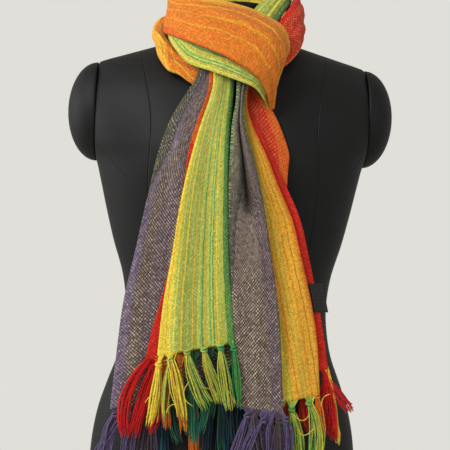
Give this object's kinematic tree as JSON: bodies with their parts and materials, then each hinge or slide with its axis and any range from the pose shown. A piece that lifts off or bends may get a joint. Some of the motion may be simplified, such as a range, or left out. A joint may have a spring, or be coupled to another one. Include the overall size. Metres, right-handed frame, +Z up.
{
  "type": "stole on a dress form",
  "caption": "Long striped handwoven stole with knotted fringes, folded and drawn through its own loop round the neck of a limbless dress form.",
  "frame": {"origin": "middle of the dress form's flat base, on the surface it stands on", "axes": "+Z up, the front of the form and the hanging ends face -Y, +X to the viewer's right when seen from the front"},
  "size_m": [0.4044, 0.2622, 0.6865],
  "materials": {
    "form": "matte black jersey over a rigid shell",
    "loop_over": "coarse plain weave, orange with yellow weft",
    "wrap_back_upper": "coarse plain weave",
    "strand_green": "coarse plain weave, green warp",
    "loop_under": "coarse plain weave, golden warp",
    "wrap_back_lower": "coarse plain weave",
    "strand_red": "coarse plain weave, red warp",
    "loop_drape": "coarse plain weave, orange-red warp",
    "tail_a": "coarse plain weave, warp stripes",
    "tail_b": "coarse plain weave, warp stripes",
    "label": "blank woven tape",
    "fringe_red": "knotted loose yarn",
    "fringe_gold": "knotted loose yarn",
    "fringe_green": "knotted loose yarn",
    "fringe_purple": "knotted loose yarn"
  },
  "bodies": {
    "root": {"form_torso": "form", "form_cap_left": "form", "form_cap_right": "form", "loop_over": "loop_over", "wrap_back_upper": "wrap_back_upper", "strand_green": "strand_green", "loop_under": "loop_under", "wrap_back_lower": "wrap_back_lower", "strand_red": "strand_red", "loop_drape": "loop_drape", "tail_a": "tail_a", "tail_b": "tail_b", "label": "label", "fringe_a_red": "fringe_red", "fringe_a_gold": "fringe_gold", "fringe_a_front": "fringe_green", "fringe_a_back": "fringe_purple", "fringe_b_red": "fringe_red", "fringe_b_gold": "fringe_gold", "fringe_b_front": "fringe_purple"}
  },
  "joints": []
}
